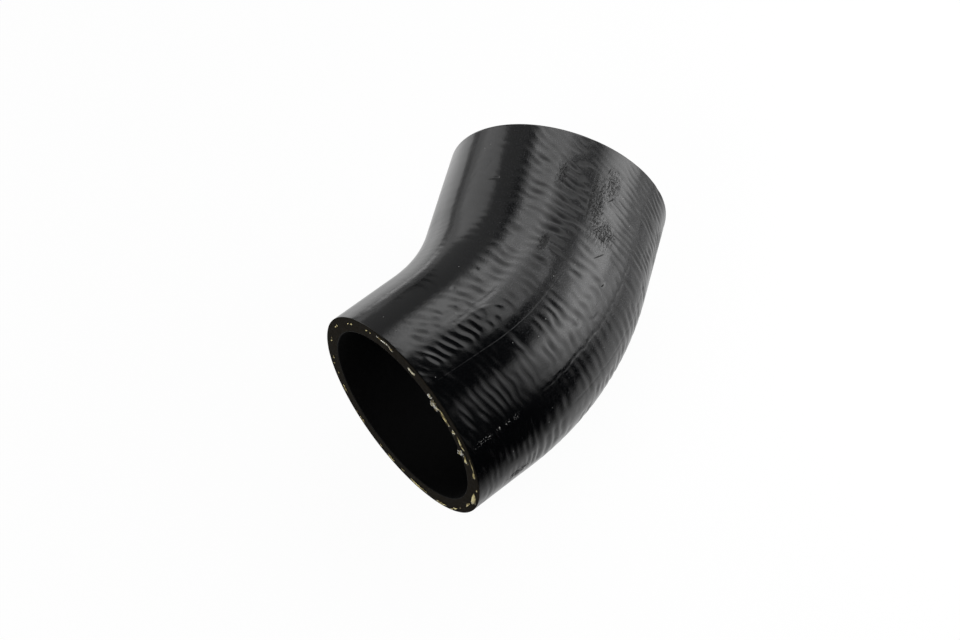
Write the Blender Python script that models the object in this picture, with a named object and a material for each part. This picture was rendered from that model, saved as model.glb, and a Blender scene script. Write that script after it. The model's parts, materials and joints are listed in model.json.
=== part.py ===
"""Rubber elbow that carries the intake air of an engine from one pipe to the next.

The real hose is one piece: sheets of rubber and yarn are wrapped round a bent mandrel, bound
with tape and cured, which leaves shallow tape rings round the skin. Both ends are then cut off
by knife, the far one slightly out of square.

Here the wall's section is turned round a straight axis, and each of its points is then moved
to where it lies on the bent mandrel. The elbow lies on its side, as it comes to rest, with its
inner side towards +Y, the air passing along +X on average, and its origin at the middle of
the base. Lengths are in metres.
"""

import math

import bmesh
import bpy
from mathutils import Vector

# Bore and wall
BORE_DIAMETER = 0.064
WALL = 0.0055

# Centreline: a straight leg, an arc and a straight leg
NEAR_LEG = 0.025
FAR_LEG = 0.033
BEND_RADIUS = 0.0765
BEND_ANGLE = math.radians(34.5)

# Cut ends: their edges' rounding, and how far the far cut is out of square.
# Angles round the tube start at the inner side of the bend and pass over the top.
EDGE_ROUNDING = 0.0005
FAR_CUT_LEAN = math.radians(2.2)
FAR_CUT_LONG_SIDE = math.radians(-47)

# Tape rings: their spacing and depth, the share of the depth left on the inner side of the
# bend, and how much closer together they lie on the outer side than on the centreline
RING_PITCH = 0.0031
RING_DEPTH = 0.0003
INNER_RING_SHARE = 0.3
RING_CROWDING = 0.25
RING_FADE = 0.004

# Facets; the last ring keeps at least this share of half a pitch from the cut's rounding
SIDES = 48
LEAST_GAP = 0.5
BEND_STEPS = 14
ROUNDING_STEPS = 2

# Finish
RUBBER_COLOR = (0.018, 0.018, 0.019, 1.0)
RUBBER_ROUGHNESS = 0.32

BORE_RADIUS = BORE_DIAMETER / 2
OUTER_RADIUS = BORE_RADIUS + WALL
BEND_LENGTH = BEND_RADIUS * BEND_ANGLE
LENGTH = NEAR_LEG + BEND_LENGTH + FAR_LEG
MIDDLE = LENGTH / 2


def clear_scene():
    """Remove what the scene holds."""
    for item in list(bpy.data.objects):
        bpy.data.objects.remove(item, do_unlink=True)


def ring_stations():
    """Return (distance along, depth) of each crest and trough of the tape rings."""
    half_pitch = RING_PITCH / 2
    reach = LENGTH / 2 - EDGE_ROUNDING
    count = int(reach / half_pitch - LEAST_GAP)
    stations = []
    for step in range(-count, count + 1):
        from_middle = step * half_pitch
        fade = min(1.0, (reach - abs(from_middle)) / RING_FADE)
        trough = step % 2 == 0
        stations.append((MIDDLE + from_middle, RING_DEPTH * fade if trough else 0.0))
    return stations


def rounded_edge(along, radius, inward, outward, from_face):
    """Return the (along, radius) points of a wall edge rounded between its face and its skin.

    inward is +1 where the wall lies further along, outward is +1 on the outer skin, and
    from_face says that the points run from the cut face to the skin.
    """
    centre_along = along + inward * EDGE_ROUNDING
    centre_radius = radius - outward * EDGE_ROUNDING
    points = []
    for step in range(ROUNDING_STEPS + 1):
        turn = math.radians(90) * step / ROUNDING_STEPS
        points.append(
            (
                centre_along - inward * EDGE_ROUNDING * math.cos(turn),
                centre_radius + outward * EDGE_ROUNDING * math.sin(turn),
            )
        )
    return points if from_face else points[::-1]


def wall_section():
    """Return the closed (along, radius) outline of the wall, out along its skin and back."""
    skin = [(along, OUTER_RADIUS - depth) for along, depth in ring_stations()]
    bore = [
        (NEAR_LEG + BEND_LENGTH * step / BEND_STEPS, BORE_RADIUS)
        for step in reversed(range(BEND_STEPS + 1))
    ]
    return (
        rounded_edge(0.0, OUTER_RADIUS, 1, 1, True)
        + skin
        + rounded_edge(LENGTH, OUTER_RADIUS, -1, 1, False)
        + rounded_edge(LENGTH, BORE_RADIUS, -1, -1, True)
        + bore
        + rounded_edge(0.0, BORE_RADIUS, 1, -1, False)
    )


def turned_tube():
    """Turn the wall's section round the X axis into a closed straight tube."""
    tube = bmesh.new()
    corners = [tube.verts.new((along, radius, 0.0)) for along, radius in wall_section()]
    edges = [
        tube.edges.new((corner, corners[(index + 1) % len(corners)]))
        for index, corner in enumerate(corners)
    ]
    bmesh.ops.spin(
        tube,
        geom=corners + edges,
        cent=(0, 0, 0),
        axis=(1, 0, 0),
        angle=math.radians(360),
        steps=SIDES,
        use_merge=True,
    )
    bmesh.ops.recalc_face_normals(tube, faces=tube.faces)
    return tube


def on_mandrel(point):
    """Return where a point of the straight tube lies once the tube is on the bent mandrel."""
    radius = math.hypot(point.y, point.z)
    around = math.atan2(point.z, point.y)
    along = point.x
    inner_side = math.cos(around)
    half = LENGTH / 2
    offset = along - MIDDLE
    if radius > BORE_RADIUS + WALL / 2:
        # The skin's rings crowd on the outer side of the bend, but the cuts stay flat
        along += RING_CROWDING * inner_side * offset * (1 - (offset / half) ** 2)
        # and they are shallower on the inner side
        depth = OUTER_RADIUS - radius
        if EDGE_ROUNDING < point.x < LENGTH - EDGE_ROUNDING:
            share = INNER_RING_SHARE + (1 - INNER_RING_SHARE) * (1 - inner_side) / 2
            radius = OUTER_RADIUS - depth * share
    # The far cut's lean grows over the far leg
    lean = max(0.0, (along - LENGTH + FAR_LEG) / FAR_LEG) * math.tan(FAR_CUT_LEAN)
    along += lean * radius * math.cos(around - FAR_CUT_LONG_SIDE)
    # Distance along becomes leg, arc and leg, symmetrical about +X at the middle of the bend
    before = min(along, NEAR_LEG)
    turned = min(max((along - NEAR_LEG) / BEND_RADIUS, 0.0), BEND_ANGLE)
    beyond = max(along - NEAR_LEG - BEND_LENGTH, 0.0)
    start, heading = -BEND_ANGLE / 2, turned - BEND_ANGLE / 2
    centre = Vector((math.cos(start), math.sin(start), 0.0)) * before
    centre += BEND_RADIUS * Vector(
        (math.sin(heading) - math.sin(start), math.cos(start) - math.cos(heading), 0.0)
    )
    centre += Vector((math.cos(heading), math.sin(heading), 0.0)) * beyond
    inward = Vector((-math.sin(heading), math.cos(heading), 0.0))
    return centre + radius * (inner_side * inward + math.sin(around) * Vector((0, 0, 1)))


def set_on_base(tube):
    """Move the mesh so that its origin is the middle of the base of its box."""
    low = [min(vertex.co[axis] for vertex in tube.verts) for axis in range(3)]
    high = [max(vertex.co[axis] for vertex in tube.verts) for axis in range(3)]
    base = Vector(((low[0] + high[0]) / 2, (low[1] + high[1]) / 2, low[2]))
    bmesh.ops.translate(tube, verts=tube.verts, vec=-base)


def rubber():
    """Make the semi-gloss black rubber."""
    material = bpy.data.materials.new("black_rubber")
    material.use_nodes = True
    shader = material.node_tree.nodes["Principled BSDF"]
    shader.inputs["Base Color"].default_value = RUBBER_COLOR
    shader.inputs["Roughness"].default_value = RUBBER_ROUGHNESS
    shader.inputs["Metallic"].default_value = 0.0
    return material


def make_hose(collection):
    """Build the hose as one closed body."""
    tube = turned_tube()
    for vertex in tube.verts:
        vertex.co = on_mandrel(vertex.co)
    set_on_base(tube)
    mesh = bpy.data.meshes.new("hose")
    tube.to_mesh(mesh)
    tube.free()
    mesh.shade_smooth()
    mesh.set_sharp_from_angle(angle=math.radians(50))
    mesh.materials.append(rubber())
    hose = bpy.data.objects.new("hose", mesh)
    collection.objects.link(hose)


def main():
    clear_scene()
    collection = bpy.data.collections.new("air_intake_hose")
    bpy.context.scene.collection.children.link(collection)
    make_hose(collection)


main()
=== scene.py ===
"""Looks of the rubber elbow that carries an engine's intake air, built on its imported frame.

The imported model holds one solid, the hose. Here its wall is made again as one fine closed mesh
on the same bent mandrel, with the tape's rings, the creases and the scuffs that the skin shows,
and the yarn ends that the knife left on the cut faces. Lengths are in metres, but the skin's own
map and the tables of marks and yarn are in millimetres and degrees. Distances along the hose
start at the near cut. Angles round it start at the inner side of the bend and pass over the top.
"""

import json
import logging
import math
from dataclasses import dataclass
from enum import Enum

import bpy
import numpy as np
from mathutils import Matrix, Vector


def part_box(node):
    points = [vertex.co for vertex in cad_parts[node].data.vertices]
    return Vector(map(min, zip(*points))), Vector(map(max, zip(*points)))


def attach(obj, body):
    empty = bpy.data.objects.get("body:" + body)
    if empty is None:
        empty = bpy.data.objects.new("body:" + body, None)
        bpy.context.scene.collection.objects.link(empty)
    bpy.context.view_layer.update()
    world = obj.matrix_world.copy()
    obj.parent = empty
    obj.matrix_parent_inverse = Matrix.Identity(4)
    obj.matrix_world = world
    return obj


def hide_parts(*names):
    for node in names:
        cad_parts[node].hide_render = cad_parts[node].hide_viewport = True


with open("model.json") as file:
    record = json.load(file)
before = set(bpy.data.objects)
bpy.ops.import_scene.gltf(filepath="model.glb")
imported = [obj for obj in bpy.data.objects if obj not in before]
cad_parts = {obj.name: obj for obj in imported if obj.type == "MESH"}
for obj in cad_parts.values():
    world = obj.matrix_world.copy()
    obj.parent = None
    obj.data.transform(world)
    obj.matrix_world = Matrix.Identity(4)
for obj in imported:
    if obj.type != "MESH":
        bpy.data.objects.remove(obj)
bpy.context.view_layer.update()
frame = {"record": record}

LOG = logging.getLogger("hose")
NODE = "hose"
MM = 0.001
WHITE = (1.0, 1.0, 1.0, 1.0)

# Middle of a shader noise's values, and the range in which most of them lie
NOISE_MIDDLE = 0.5
NOISE_RANGE = (0.3, 0.7)

Pair = tuple[float, float]
Color = tuple[float, float, float, float]
Values = np.ndarray


class Zone(Enum):
    """The kinds of surface on the wall, in the order of its material slots."""

    SKIN = 0
    CUT = 1
    BORE = 2


class End(Enum):
    """The two cut ends of the hose."""

    NEAR = "near"
    FAR = "far"


def smooth_step(low: float, high: float, value: Values) -> Values:
    """Ease a value from 0 at low to 1 at high.

    Args:
        low: Where the step starts.
        high: Where the step ends, below low for a falling step.
        value: The values to ease.

    Returns:
        The eased values, from 0 to 1.
    """
    share = np.clip((value - low) / (high - low), 0.0, 1.0)
    return share * share * (3 - 2 * share)


def heading_vector(bearing: float, rise: float) -> Vector:
    """Find the unit vector towards a bearing, counterclockwise from +X, and an elevation."""
    flat = math.cos(rise)
    return Vector((math.cos(bearing) * flat, math.sin(bearing) * flat, math.sin(rise)))


class Listed:
    """Something that a table lists."""

    @classmethod
    def table(cls, *rows: tuple) -> tuple:
        """Make one from each row of its fields' values."""
        return tuple(cls(*row) for row in rows)


@dataclass(frozen=True)
class Spots:
    """Points of the skin.

    Args:
        along: Distances along the hose.
        around: Angles round it.
    """

    along: Values
    around: Values

    def turn_from(self, degrees: float) -> Values:
        """Find the turn to each point from an angle in degrees, at most half a turn."""
        return np.mod(self.around - math.radians(degrees) + math.pi, math.tau) - math.pi


@dataclass(frozen=True)
class SurfaceNoise:
    """Smooth random values over the skin, alike on each run and closed round the hose.

    Args:
        seed: Seed of the lattice.
        cell_along: Size of a lattice cell along the hose.
        cells_round: Number of cells round the hose.
        rows: Number of cells along the hose, after which the noise repeats.
        first_row: Row of cells that starts at the near cut.
    """

    seed: int
    cell_along: float
    cells_round: int
    rows: int = 64
    first_row: int = 4

    def at(self, spots: Spots) -> Values:
        """Read the noise.

        Args:
            spots: Where to read it.

        Returns:
            Values from -1 to 1.
        """
        lattice = np.random.default_rng(self.seed).uniform(-1, 1, (self.rows, self.cells_round))
        row = spots.along / self.cell_along + self.first_row
        column = spots.around / math.tau * self.cells_round
        low_row, low_column = np.floor(row).astype(int), np.floor(column).astype(int)
        part_row = smooth_step(0, 1, row - low_row)
        part_column = smooth_step(0, 1, column - low_column)

        def between(step: int) -> Values:
            """Read a row of lattice points, between its two columns.

            Args:
                step: 0 for the nearer row, 1 for the farther.

            Returns:
                Values from -1 to 1.
            """
            line = (low_row + step) % self.rows
            low = lattice[line, low_column % self.cells_round]
            high = lattice[line, (low_column + 1) % self.cells_round]
            return low * (1 - part_column) + high * part_column

        return between(0) * (1 - part_row) + between(1) * part_row


@dataclass(frozen=True)
class Mandrel:
    """The bent mandrel that the hose was cured on, which says where each point of the wall lies.

    Args:
        start: Middle of the near cut.
        start_heading: Heading of the near leg, counterclockwise from +X.
        near_leg: Length of the straight near leg.
        far_leg: Length of the straight far leg.
        bend_radius: Radius of the centreline's arc.
        bend_angle: Turn of the arc.
        far_cut_lean: How far the far cut is out of square.
        far_cut_long_side: Angle round the hose at which the far leg is longest.
    """

    start: tuple[float, float, float]
    start_heading: float
    near_leg: float = 25.0 * MM
    far_leg: float = 33.0 * MM
    bend_radius: float = 76.5 * MM
    bend_angle: float = math.radians(34.5)
    far_cut_lean: float = math.radians(2.2)
    far_cut_long_side: float = math.radians(-47)

    @property
    def length(self) -> float:
        """Length of the centreline."""
        return self.near_leg + self.bend_radius * self.bend_angle + self.far_leg

    @classmethod
    def from_frame(cls, record: dict, box: tuple[Vector, Vector]) -> "Mandrel":
        """Place the mandrel by the frame's mount on the near cut.

        Args:
            record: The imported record.
            box: Lowest and highest corner of the hose.

        Returns:
            The mandrel.
        """
        mount = next(m for m in record["mounts"] if m["name"] == "near_end")
        x, y, _ = mount["pos_m"]
        outward = mount["axis"]
        heading = math.atan2(-outward[1], -outward[0])
        return cls((x, y, (box[0].z + box[1].z) / 2), heading)

    def place(self, spots: Spots, radius: Values) -> Values:
        """Find where points of the straight tube lie on the bent mandrel.

        Args:
            spots: Where they are along the hose and round it.
            radius: Their distances from the centreline.

        Returns:
            Points, with x, y and z last.
        """
        share = np.maximum(0.0, (spots.along - self.length + self.far_leg) / self.far_leg)
        lean = share * math.tan(self.far_cut_lean) * radius
        along = spots.along + lean * np.cos(spots.around - self.far_cut_long_side)
        before = np.minimum(along, self.near_leg)
        turned = np.clip((along - self.near_leg) / self.bend_radius, 0.0, self.bend_angle)
        beyond = np.maximum(along - self.near_leg - self.bend_radius * self.bend_angle, 0.0)
        first = self.start_heading
        heading = first + turned
        x = math.cos(first) * before + self.bend_radius * (np.sin(heading) - math.sin(first))
        y = math.sin(first) * before + self.bend_radius * (math.cos(first) - np.cos(heading))
        sideways = radius * np.cos(spots.around)
        x = x + np.cos(heading) * beyond - sideways * np.sin(heading)
        y = y + np.sin(heading) * beyond + sideways * np.cos(heading)
        return np.stack([x, y, radius * np.sin(spots.around)], -1) + np.array(self.start)


@dataclass(frozen=True)
class Patch(Listed):
    """A stretch of the skin with a soft outline, in millimetres and degrees.

    Args:
        along: Distance of its middle along the hose.
        around: Angle of its middle.
        length: Half its length along the hose.
        width: Half its width round the hose.
        height: Height or strength of what it holds.
    """

    along: float
    around: float
    length: float
    width: float
    height: float = 1.0

    def at(self, spots: Spots, radius: float, sharpness: int = 4) -> Values:
        """Find its height at points of the skin.

        Args:
            spots: The points.
            radius: Radius of the skin.
            sharpness: How suddenly it ends at its outline.

        Returns:
            Heights, which fade to 0 outside it.
        """
        off_along = (spots.along / MM - self.along) / self.length
        off_around = radius / MM * spots.turn_from(self.around) / self.width
        return self.height * np.exp(-(np.hypot(off_along, off_around) ** sharpness))


@dataclass(frozen=True)
class TapeRings:
    """The rings that the curing tape left round the skin.

    Args:
        radius: Radius of the skin.
        middle: Distance along to the middle of the hose, where the rings stand square.
        pitch: Spacing of the rings on the centreline.
        depth: Depth of a ring's trough where the rings are deepest.
        crowding: How much closer together the rings lie on the outer side of the bend.
        slant: How fast the rings lean where the tape climbs over the top of the bend.
        slant_middle: Angle at which the leaning rings meet the others.
        slant_sector: Angles between which they lean, and the width of the fade at each.
        drifts: How far noises shift the rings along the hose, and the noises.
        breaks: Noise that breaks the rings up, and its strength.
        least: Least share of its depth that a ring keeps where it is broken.
        faint: Share of the depth that shows outside the zones.
        zones: Where the rings are deeper.
        sheen_sector: Angles over which the troughs turn duller and then glossier again.
        plain_dullness: Dullness of the troughs outside that sector.
        dull_zones: Where the troughs are duller still.
    """

    radius: float
    middle: float
    pitch: float = 3.10 * MM
    depth: float = 0.095 * MM
    crowding: float = 0.25
    slant: float = 0.28
    slant_middle: float = 98.0
    slant_sector: tuple[float, float, float] = (70.0, 105.0, 4.0)
    drifts: tuple[tuple[float, SurfaceNoise], ...] = (
        (0.80 * MM, SurfaceNoise(3, 13 * MM, 46)),
        (0.42 * MM, SurfaceNoise(4, 3.5 * MM, 60)),
    )
    breaks: tuple[float, SurfaceNoise] = (1.35, SurfaceNoise(5, 2.6 * MM, 58))
    least: float = 0.05
    faint: float = 0.10
    zones: tuple[Patch, ...] = Patch.table(
        (14, 100, 24, 3.4, 1.10), (30, 85, 34, 2.6, 0.18), (34, 118, 22, 3.6, 0.62),
        (34, 132, 26, 5.0, 0.36), (62, 124, 22, 10.0, 0.95), (12, 131, 16, 7.0, 0.30),
        (84, 152, 26, 20.0, 1.35), (45, 170, 42, 10.0, 0.85), (48, 152, 24, 6.0, 0.40),
        (48, 185, 46, 8.0, 1.20), (80, 102, 30, 5.0, 1.00),
    )
    sheen_sector: tuple[float, ...] = (60.0, 92.0, 220.0, 300.0)
    plain_dullness: float = 0.25
    dull_zones: tuple[Patch, ...] = Patch.table(
        (78, 103, 24, 5.0, 4.0), (50, 100, 12, 3.0, 1.6), (34, 131, 28, 6.5, 1.3),
        (34, 85, 36, 3.0, 0.7), (84, 86, 16, 3.0, 1.0),
    )

    def wave(self, spots: Spots) -> Values:
        """Find how far down the rings' troughs the skin is.

        Args:
            spots: Points of the skin.

        Returns:
            Values from 0 on a crest to about 1 in a trough.
        """
        offset, around = spots.along - self.middle, spots.around
        drift = sum(shift * noise.at(spots) for shift, noise in self.drifts)
        square = offset / (1 + self.crowding * np.cos(around)) + drift
        slanted = square + self.slant * offset * (around - math.radians(self.slant_middle))
        low, high, fade = (math.radians(a) for a in self.slant_sector)
        climbs = smooth_step(low - fade, low + fade, around)
        climbs = climbs * smooth_step(high + fade, high - fade, around)
        turns = math.tau / self.pitch
        wave = climbs * np.cos(slanted * turns) + (1 - climbs) * np.cos(square * turns)
        strength, noise = self.breaks
        return np.maximum(self.least, 1 + strength * noise.at(spots)) * (1 - wave) / 2

    def height(self, spots: Spots) -> Values:
        """Find the height of the rings over the skin, zero or below, at points of it."""
        share = sum((zone.at(spots, self.radius) for zone in self.zones), self.faint)
        return -self.depth * share * self.wave(spots)

    def dullness(self, spots: Spots) -> Values:
        """Find how much duller the troughs are.

        Args:
            spots: Points of the skin.

        Returns:
            Values from 0 on a crest to 1 in a plain trough and more in a duller one.
        """
        first, full, fading, gone = (math.radians(a) for a in self.sheen_sector)
        share = smooth_step(first, full, spots.around) * smooth_step(gone, fading, spots.around)
        share = self.plain_dullness + (1 - self.plain_dullness) * share
        share = sum((zone.at(spots, self.radius) for zone in self.dull_zones), share)
        return share * self.wave(spots)


@dataclass(frozen=True)
class Crease(Listed):
    """A line pressed into the skin or standing on it, in millimetres and degrees.

    Args:
        route: Distance along and angle round of each point of the line.
        width: Half width of the line.
        height: Height over the skin, below zero for a groove.
        waver: How far the line wanders to the sides.
        wander: Noise that it wanders by.
    """

    route: tuple[Pair, ...]
    width: float
    height: float
    waver: float = 0.0
    wander: SurfaceNoise = SurfaceNoise(23, 1.6 * MM, 8)

    def at(self, spots: Spots, radius: float) -> Values:
        """Find its height at points of the skin.

        Args:
            spots: The points.
            radius: Radius of the skin.

        Returns:
            Heights over the skin, in metres.
        """
        first = self.route[0][1]
        sideways = radius * spots.turn_from(first) + self.waver * MM * self.wander.at(spots)
        place = spots.along + 1j * sideways
        corners = [complex(a * MM, radius * math.radians(turn - first)) for a, turn in self.route]
        nearest = np.full(place.shape, np.inf)
        for start, end in zip(corners, corners[1:]):
            share = np.clip(((place - start) / (end - start)).real, 0.0, 1.0)
            nearest = np.minimum(nearest, np.abs(place - start - share * (end - start)))
        return self.height * MM * np.exp(-((nearest / (self.width * MM)) ** 2))


@dataclass
class HoseSkin:
    """The outer skin: its rings, its unevenness and the marks of making and handling."""

    radius: float
    length: float
    unevenness: tuple[tuple[float, SurfaceNoise], ...] = (
        (0.020 * MM, SurfaceNoise(11, 13 * MM, 20)),
        (0.011 * MM, SurfaceNoise(12, 4 * MM, 60)),
    )
    creases: tuple[Crease, ...] = Crease.table(
        (((20, 92), (28.5, 90.8), (37, 92)), 0.30, -0.05, 0.3),
        (((21, 94), (25, 92.5), (29, 93.5), (33, 96.5), (36, 101)), 0.35, 0.05),
        (((33, 91.5), (38, 91.5)), 0.3, -0.05),
        (((18, 82), (19, 85), (22, 86)), 0.34, -0.045),
        (((22, 83), (24, 85.5), (22.5, 86.5)), 0.34, -0.045),
        (((30, 145), (40, 144), (49, 144.8)), 0.35, -0.06, 0.5),
        (tuple((49 + 1.45 * step, 144.7 + step % 2) for step in range(15)), 0.32, -0.08, 0.3),
        (((37, 166), (50, 167), (61, 168), (71, 167)), 0.45, -0.06, 0.5),
        (((45.6, 132), (46, 134), (47, 134.2), (47.6, 132.5)), 0.36, -0.11),
        (((50, 137.5), (51, 139.5), (52.5, 139.8)), 0.36, -0.11),
        (((58.6, 133.5), (60, 134.3)), 0.36, -0.10),
        (((74, 118), (73, 121), (74.5, 124)), 0.30, -0.08, 0.5),
        (((73.5, 156.5), (76, 155.5), (79.5, 157)), 0.36, -0.09, 0.3),
        (((83, 151), (85, 152.3)), 0.36, -0.09),
        (((84, 48), (86, 50), (85.5, 53), (84.5, 55)), 0.36, -0.05),
        (((86, 56), (89, 58)), 0.36, -0.05),
        (((81.6, 58), (81.8, 64)), 0.36, -0.06),
    )
    swellings: tuple[Patch, ...] = Patch.table(
        (28.5, 95.5, 8.0, 2.4, 0.05), (27.5, 98.5, 2.2, 1.2, -0.05), (57, 98, 1.6, 1.4, -0.05),
        (28.8, 76.4, 0.9, 0.5, -0.05), (40, 77.5, 0.8, 0.5, -0.05), (95.5, 81.5, 1.2, 1.0, -0.05),
        (96, 127, 1.2, 0.9, -0.06), (33, 171, 1.2, 1.6, -0.04),
    )
    worn: tuple[Patch, ...] = Patch.table(
        (80, 117, 13.0, 2.4, 0.80), (72, 124, 5.0, 5.0, 0.80), (87, 96, 5.5, 2.0, 0.85),
        (60, 97.5, 4.0, 1.6, 1.1), (17, 186, 5.0, 2.6), (90, 122, 7.0, 3.2, 0.70),
        (83, 113, 12.0, 0.8, 1.05),
    )

    @property
    def rings(self) -> TapeRings:
        """The rings round it."""
        return TapeRings(self.radius, self.length / 2)

    def relief(self, spots: Spots) -> Values:
        """Find the height of the whole skin over its plain round form.

        Args:
            spots: Points of the skin.

        Returns:
            Heights.
        """
        height = self.rings.height(spots)
        height = sum((rise * noise.at(spots) for rise, noise in self.unevenness), height)
        height = sum((crease.at(spots, self.radius) for crease in self.creases), height)
        rises = (swelling.at(spots, self.radius, sharpness=2) for swelling in self.swellings)
        return sum((MM * rise for rise in rises), height)

    def wear(self, spots: Spots) -> Values:
        """Find how worn the skin is at points of it, from 0 to about 1."""
        return np.maximum.reduce([patch.at(spots, self.radius) for patch in self.worn])


@dataclass(frozen=True)
class Socket:
    """An output of a shader node. Arithmetic with it adds math nodes.

    Args:
        node: The node.
        name: The output's name or index.
    """

    node: bpy.types.Node
    name: str | int = 0

    def into(self, operation: str, other: object = 0.0) -> "Socket":
        """Put it through a math node.

        Args:
            operation: What the node does.
            other: The second value, a number or a Socket.

        Returns:
            The result.
        """
        inputs = {0: self, 1: other}
        return Socket(Nodes(self.node.id_data).add("ShaderNodeMath", inputs, operation=operation))

    def __add__(self, other: object) -> "Socket":
        """Add a number or a Socket."""
        return self.into("ADD", other)

    def __sub__(self, other: object) -> "Socket":
        """Take away a number or a Socket."""
        return self.into("SUBTRACT", other)

    def __mul__(self, other: object) -> "Socket":
        """Multiply by a number or a Socket."""
        return self.into("MULTIPLY", other)

    def __or__(self, other: object) -> "Socket":
        """Lay one mask over another, which keeps the larger value."""
        return self.into("MAXIMUM", other)

    def __abs__(self) -> "Socket":
        """Drop the sign."""
        return self.into("ABSOLUTE")

    def span(self, low: float, high: float, to_low: float = 0.0, to_high: float = 1.0) -> "Socket":
        """Map a range of values smoothly onto another.

        Args:
            low: Where the range starts.
            high: Where the range ends.
            to_low: Result at low.
            to_high: Result at high.

        Returns:
            The mapped value.
        """
        inputs = {"Value": self, "From Min": low, "From Max": high}
        inputs.update({"To Min": to_low, "To Max": to_high})
        nodes = Nodes(self.node.id_data)
        return Socket(nodes.add("ShaderNodeMapRange", inputs, interpolation_type="SMOOTHSTEP"))


class Nodes:
    """Writes a node tree with few words."""

    def __init__(self, tree: bpy.types.NodeTree) -> None:
        """Start writing in the tree of a material, a lamp or the world."""
        self.tree = tree

    def add(self, kind: str, inputs: dict | None = None, **settings: object) -> bpy.types.Node:
        """Add a node.

        Args:
            kind: The node's type name.
            inputs: What its inputs take, by their names or indices.
            **settings: Properties of the node.

        Returns:
            The node.
        """
        node = self.tree.nodes.new(kind)
        for key, value in settings.items():
            setattr(node, key, value)
        self.feed(node, inputs or {})
        return node

    def feed(self, node: bpy.types.Node, inputs: dict) -> None:
        """Set or link a node's inputs.

        Args:
            node: The node.
            inputs: A number, a tuple or a Socket for each input, by its name or index.
        """
        for key, value in inputs.items():
            if isinstance(value, Socket):
                self.tree.links.new(value.node.outputs[value.name], node.inputs[key])
            else:
                node.inputs[key].default_value = value

    def mix(self, share: object, first: object, second: object) -> Socket:
        """Mix two colours by the second's share."""
        inputs = {0: share, 6: first, 7: second}
        return Socket(self.add("ShaderNodeMix", inputs, data_type="RGBA"), 2)

    def blend(self, share: object, first: Socket, second: Socket) -> Socket:
        """Mix two shaders by the second's share."""
        return Socket(self.add("ShaderNodeMixShader", {0: share, 1: first, 2: second}))

    def bump(self, height: Socket, distance: float) -> Socket:
        """Make the normal of a relief whose height of 1 is so many metres."""
        inputs = {"Strength": 1.0, "Distance": distance, "Height": height}
        return Socket(self.add("ShaderNodeBump", inputs))


class Shader(Nodes):
    """Writes a material that holds a Principled BSDF."""

    def __init__(self, name: str) -> None:
        """Start the material.

        Args:
            name: The material's name.
        """
        self.material = bpy.data.materials.new(name)
        self.material.use_nodes = True
        super().__init__(self.material.node_tree)
        self.surface = self.tree.nodes["Principled BSDF"]

    def place(self) -> Socket:
        """The object's own map."""
        return Socket(self.add("ShaderNodeTexCoord"), "Object")

    def layer(self, name: str) -> Socket:
        """A value that the mesh holds for each of its points."""
        return Socket(self.add("ShaderNodeAttribute", attribute_name=name), "Fac")

    def dressed(self, inputs: dict) -> bpy.types.Material:
        """Feed the Principled BSDF and hand the material over."""
        self.feed(self.surface, inputs)
        return self.material


@dataclass(frozen=True)
class Texture:
    """A noise texture.

    Args:
        scale: Features for each unit of the map, on each axis.
        detail: Octaves.
        rough: Share of the finer octaves.
        turn: Turn of the map in its plane, in degrees.
    """

    scale: tuple[float, float, float]
    detail: float = 2.0
    rough: float = 0.5
    turn: float = 0.0

    def over(self, place: Socket) -> Socket:
        """Lay the noise over a map.

        Args:
            place: The map.

        Returns:
            The noise, about 0.5.
        """
        nodes = Nodes(place.node.id_data)
        turn = (0.0, 0.0, math.radians(self.turn))
        inputs = {"Vector": place, "Scale": self.scale, "Rotation": turn}
        laid = Socket(nodes.add("ShaderNodeMapping", inputs))
        inputs = {"Vector": laid, "Scale": 1.0, "Detail": self.detail, "Roughness": self.rough}
        return Socket(nodes.add("ShaderNodeTexNoise", inputs), "Fac")


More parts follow.
